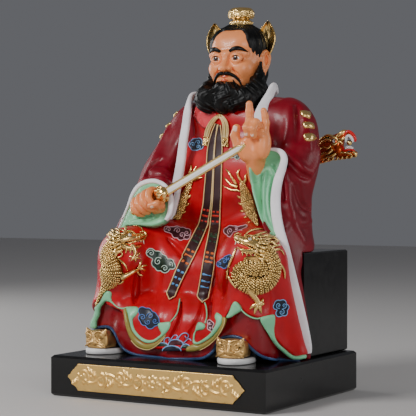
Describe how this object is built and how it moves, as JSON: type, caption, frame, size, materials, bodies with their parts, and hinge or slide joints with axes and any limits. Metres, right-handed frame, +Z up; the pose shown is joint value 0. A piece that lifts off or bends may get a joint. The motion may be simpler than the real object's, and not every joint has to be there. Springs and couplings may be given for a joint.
{
  "type": "resin taoist deity statue",
  "caption": "Seated bearded deity in painted robes holding a raised sword, on a black block and stepped plinth with a gilt scroll plaque and a dragon-ended chair rail",
  "frame": {"origin": "centre of the plinth's underside", "axes": "+Z up, -Y the statue's front, +X to the viewer's right seen from the front"},
  "size_m": [0.2766, 0.2179, 0.428],
  "materials": {
    "black_lacquer": "gloss lacquer over resin",
    "gilt": "satin gold paint over resin",
    "painted_resin": "gloss paint in several colours over resin",
    "sword_silver": "silver and gold paint over resin",
    "rail_red": "gloss red paint with gilt over resin"
  },
  "bodies": {
    "root": {"plinth": "black_lacquer", "seat_block": "black_lacquer", "plinth_plaque": "gilt", "figure": "painted_resin", "sword": "sword_silver", "throne_back": "rail_red"}
  },
  "joints": []
}
